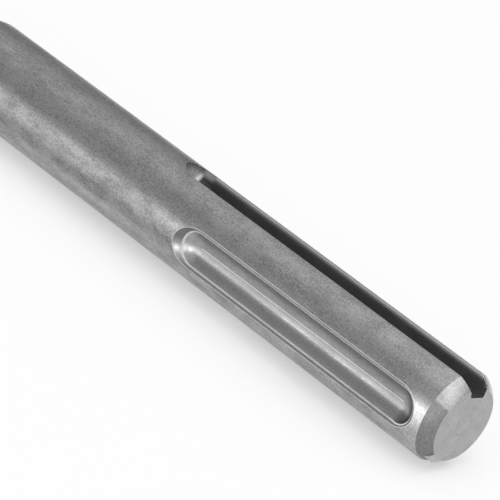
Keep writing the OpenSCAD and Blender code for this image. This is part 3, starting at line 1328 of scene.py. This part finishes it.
    def drop_cap(self, piece: Piece) -> None:
        """Deletes the flat faces at the end of the neck, where shank and flutes are joined.

        Args:
            piece: The shank or the fluted bar.
        """
        edit(piece, "DESELECT")
        bpy.ops.object.mode_set(mode="OBJECT")
        for face in piece.data.polygons:
            flat = abs(abs(face.normal.x) - 1) < 1e-3
            face.select = flat and abs(face.center.x / MM - self.neck_end) < 1e-2
        bpy.ops.object.mode_set(mode="EDIT")
        bpy.ops.mesh.select_mode(type="FACE")
        bpy.ops.mesh.delete(type="FACE")
        bpy.ops.mesh.select_mode(type="VERT")
        bpy.ops.object.mode_set(mode="OBJECT")

    def wear(self, piece: Piece, finish: str) -> Piece:
        """Gives a whole piece one finish, by its key, and hands the piece back."""
        piece.data.materials.clear()
        piece.data.materials.append(self.finishes[finish])
        return piece

    def dress_blank(self, shank: Piece) -> None:
        """Gives the end face, the chamfer and the rest of the turned blank their finishes.

        Args:
            shank: The turned blank.
        """
        for key in ("blasted", "chamfer", "end_face"):
            shank.data.materials.append(self.finishes[key])
        for face in shank.data.polygons:
            if face.center.x / MM <= self.chamfer_len:
                face.material_index = 2 if face.normal.x < -0.999 else 1

    def trim_facet(self, shank: Piece) -> None:
        """Sinks the chamfer a little further beside the lip, as it was trimmed by hand there.

        Args:
            shank: The turned blank.
        """
        length = self.chamfer_len + self.facet_extra
        slope = (self.shank_r - self.end_face_r) / length
        first, full, last, none = self.facet_turns
        for point in shank.data.vertices:
            x, y, z = point.co / MM
            radius = math.hypot(y, z)
            if x > length or radius < self.end_face_r:
                continue
            turn = math.degrees(math.atan2(y, z))
            turn = turn if turn > 0 else turn + 360
            share = ease((turn - first) / (full - first))
            share *= 1 - ease((turn - last) / (none - last))
            facet_r = self.end_face_r + slope * x
            wanted = radius + (min(radius, facet_r) - radius) * share
            point.co.y *= wanted / radius
            point.co.z *= wanted / radius

    def build(self) -> Piece:
        """Makes the whole steel bar.

        Returns:
            The finished mesh object.
        """
        shank = turned("steel_bar", self.blank_profile(), self.segments, Vector((0, 0, 0)))
        self.dress_blank(shank)
        self.trim_facet(shank)
        combine(shank, self.forging_lip(), Merge.FUSE)
        for side in Side:
            combine(shank, self.recess_cutter(side), Merge.CUT)
        for cutter in self.deep_slot_cutters() + self.burr_nicks():
            combine(shank, cutter, Merge.CUT)
        for turn in self.side_slot_turns:
            combine(shank, self.side_slot_cutter(turn), Merge.CUT)
        flutes = self.wear(self.fluted_bar(), "blasted")
        combine(flutes, self.wear(self.plate_slot_cutter(), "trough"), Merge.CUT)
        for piece in (shank, flutes):
            self.drop_cap(piece)
        burrs = [self.burr_loop(side) for side in Side]
        pick(shank)
        for part in [flutes] + burrs:
            part.select_set(True)
        bpy.ops.object.join()
        bpy.ops.object.mode_set(mode="EDIT")
        bpy.ops.mesh.select_all(action="SELECT")
        bpy.ops.mesh.remove_doubles(threshold=WELD_GAP)
        bpy.ops.object.mode_set(mode="OBJECT")
        bpy.ops.object.shade_smooth_by_angle(angle=SMOOTH_ANGLE)
        return shank


@dataclass(frozen=True)
class Glow:
    """A broad soft light in the studio's air, by the height and turn of its middle."""

    rise: float
    turn: float
    focus: float
    level: float

    def lead(self) -> Vector:
        """Gives the direction of the light's middle."""
        rise, turn = math.radians(self.rise), math.radians(self.turn)
        return Vector((math.cos(rise) * math.cos(turn), math.cos(rise) * math.sin(turn), math.sin(rise)))


@dataclass(frozen=True)
class SoftLamp:
    """A soft rectangular lamp, which isn't seen itself."""

    name: str
    place: tuple[float, float, float]
    size: tuple[float, float]
    power: float

    def hang(self, target: Vector) -> Piece:
        """Hangs the lamp in the studio.

        Args:
            target: The point that it faces, in metres.

        Returns:
            The lamp.
        """
        data = bpy.data.lights.new(self.name, "AREA")
        data.shape = "RECTANGLE"
        data.size, data.size_y = self.size
        data.energy = self.power
        lamp = bpy.data.objects.new(self.name, data)
        bpy.context.scene.collection.objects.link(lamp)
        lamp.location = self.place
        lamp.rotation_mode = "QUATERNION"
        lamp.rotation_quaternion = (target - Vector(self.place)).to_track_quat("-Z", "Y")
        lamp.visible_camera = False
        return lamp


@dataclass
class Studio:
    """The pale floor, the soft lamps and the camera of the picture."""

    floor_z: float = -9.3
    floor_size: float = 12.0
    floor_grey: float = 0.96
    floor_glow: float = 0.45
    position: tuple[float, float, float] = (-271.4, 455.87, 249.22)
    target: tuple[float, float, float] = (54.4, 0.0, 2.3)
    roll: float = 20.77
    lens: float = 248.85
    clip: tuple[float, float] = (0.01, 50.0)
    air: float = 0.4
    glows: tuple[Glow, ...] = (
        Glow(rise=40.0, turn=150.0, focus=5.0, level=1.95),
        Glow(rise=90.0, turn=0.0, focus=6.0, level=1.3),
        Glow(rise=62.0, turn=-120.0, focus=6.0, level=0.75),
        Glow(rise=10.0, turn=75.0, focus=6.0, level=0.25),
    )
    lamps: tuple[SoftLamp, ...] = (
        SoftLamp("low_strip", place=(-0.15, 1.5, 0.035), size=(2.9, 0.085), power=5.3),
        SoftLamp("low_patch", place=(-0.85, 1.45, 0.11), size=(0.5, 0.23), power=1.4),
    )
    lit_x: float = 60.0

    def floor(self) -> Piece:
        """Lays the floor, white to the camera but for the object's shadow.

        Returns:
            The floor.
        """
        deselect()
        bpy.ops.mesh.primitive_plane_add(size=self.floor_size, location=(0, 0, self.floor_z * MM))
        floor = bpy.context.object
        floor.name = "studio_floor"
        bpy.ops.object.transform_apply(location=True, rotation=True, scale=True)
        material = bpy.data.materials.new("pale_floor")
        material.use_nodes = True
        bench = NodeBench(material.node_tree)
        path = bench.add("ShaderNodeLightPath").outputs
        seen = bench.math("MAXIMUM", path["Is Camera Ray"], path["Is Glossy Ray"])
        seen = bench.math("MAXIMUM", seen, path["Is Transmission Ray"])
        pale = (self.floor_grey, self.floor_grey, self.floor_grey, 1.0)
        cloth = bench.add("ShaderNodeBsdfDiffuse", {"Color": pale}).outputs[0]
        glow = bench.add("ShaderNodeEmission", {"Strength": 1.0}).outputs[0]
        share = bench.times(seen, self.floor_glow)
        mixed = bench.add("ShaderNodeMixShader", {0: share, 1: cloth, 2: glow}).outputs[0]
        bench.add("ShaderNodeOutputMaterial", {"Surface": mixed})
        floor.data.materials.append(material)
        return floor

    def light(self) -> None:
        """Sets the world's broad glows and hangs the lamps."""
        world = bpy.data.worlds.new("studio_air")
        world.use_nodes = True
        bench = NodeBench(world.node_tree)
        look = bench.add("ShaderNodeTexCoord").outputs["Generated"]
        level = self.air
        for glow in self.glows:
            facing = {0: look, 1: glow.lead()}
            facing = bench.add("ShaderNodeVectorMath", facing, operation="DOT_PRODUCT")
            near = bench.math("MAXIMUM", facing.outputs["Value"], 0.0)
            level = bench.plus(bench.times(bench.math("POWER", near, glow.focus), glow.level), level)
        back = bench.add("ShaderNodeBackground", {"Strength": level})
        bench.add("ShaderNodeOutputWorld", {"Surface": back.outputs[0]})
        bpy.context.scene.world = world
        for lamp in self.lamps:
            lamp.hang(Vector((self.lit_x * MM, 0, 0)))

    def camera(self) -> Piece:
        """Places the camera at the picture's viewing angle.

        Returns:
            The camera.
        """
        data = bpy.data.cameras.new("studio_camera")
        data.lens = self.lens
        data.clip_start, data.clip_end = self.clip
        camera = bpy.data.objects.new("studio_camera", data)
        bpy.context.scene.collection.objects.link(camera)
        camera.location = Vector(self.position) * MM
        look = (Vector(self.target) - Vector(self.position)).to_track_quat("-Z", "Y")
        camera.rotation_mode = "QUATERNION"
        camera.rotation_quaternion = look @ Quaternion((0, 0, 1), math.radians(self.roll))
        bpy.context.scene.camera = camera
        return camera

    def build(self) -> None:
        """Sets the whole studio up."""
        bpy.context.scene.view_settings.view_transform = "Standard"
        self.camera()
        self.floor()
        self.light()


def finish_table(effects: Effects) -> dict[str, bpy.types.Material]:
    """Makes every metal finish of the bit.

    Args:
        effects: The shared node groups.

    Returns:
        The materials by key.
    """
    smooth = {"pits": 0.0, "bump": 0.2}
    finishes = {
        "blasted": BlastedFinish("blasted_steel"),
        "chamfer": PaintedShadeChamferFinish(
            "turned_chamfer_steel", dark=0.3, light=0.42, roughness=0.24, pitch=5000.0, worn=0.6
        ),
        "end_face": TurnedFinish(
            "struck_face_steel",
            dark=0.36,
            light=0.44,
            roughness=0.34,
            pitch=2600.0,
            centre_ring=0.0019,
            worn=0.95,
        ),
        "lip": TurnedFinish(
            "forged_lip_steel", dark=0.34, light=0.48, roughness=0.45, worn=0.5, metallic=0.4
        ),
        "slot_edge": BrokenEdgeFinish(
            "broken_edge_steel",
            bare_from=0.0082,
            bare_to=0.0086,
            dark=0.32,
            light=0.48,
            worn=0.95,
            depth_tone=0.1,
        ),
        "slot": DarkDepthFinish(
            "slot_steel_dark_in_depth", dark=0.36, light=0.5, roughness=0.42, pits=0.2, worn=0.2
        ),
        "slot_end": RunoutFinish(
            "slot_runout_steel",
            dark=0.1,
            light=0.27,
            roughness=0.4,
            pits=0.2,
            worn=0.25,
            depth_tone=0.03,
            metallic=0.3,
        ),
        "nick": MetalFinish("torn_edge_steel", dark=0.12, light=0.22, roughness=0.45, worn=0.2),
        "trough": TroughFinish(
            "pressed_trough_steel", dark=0.28, light=0.39, pits=0.0, roughness=0.35, bump=0.12
        ),
        "relief": ReliefFinish("pressed_relief_steel", dark=0.26, light=0.36, roughness=0.34, **smooth),
        # The rim's light, less metallic tone is partly burnished wear and partly a painted highlight of its
        # rounded edge.
        "rim": RimFinish(
            "burnished_rim_steel", dark=0.42, light=0.56, roughness=0.45, metallic=0.2, **smooth
        ),
        "carbide": MetalFinish("ground_carbide", dark=0.13, light=0.2, roughness=0.3, worn=0.3),
        "braze": MetalFinish(
            "golden_braze", dark=0.5, light=0.66, tint=(1.0, 0.74, 0.36), roughness=0.35
        ),
    }
    return {key: finish.build(effects) for key, finish in finishes.items()}


def dress_node(name: str, material: bpy.types.Material) -> None:
    """Gives a carried-over solid its finish.

    Args:
        name: The node's name.
        material: The finish.
    """
    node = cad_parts[name]
    node.data.materials.clear()
    node.data.materials.append(material)
    log.info("%s dressed", name)


def corners(box: tuple[Vector, Vector]) -> list[list[float]]:
    """Turns a box into plain lists of numbers."""
    return [list(corner) for corner in box]


def main() -> None:
    """Builds the studio and the bit."""
    logging.basicConfig(level=logging.INFO)
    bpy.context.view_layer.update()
    Studio().build()
    log.info("studio set up")
    finishes = finish_table(Effects())
    bar = SteelBar(finishes=finishes).build()
    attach(bar, "root")
    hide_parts("drill_body")
    log.info("steel bar: %d faces", len(bar.data.polygons))
    dress_node("carbide_plate", finishes["carbide"])
    dress_node("braze_seam", finishes["braze"])


if __name__ == "__main__":
    main()
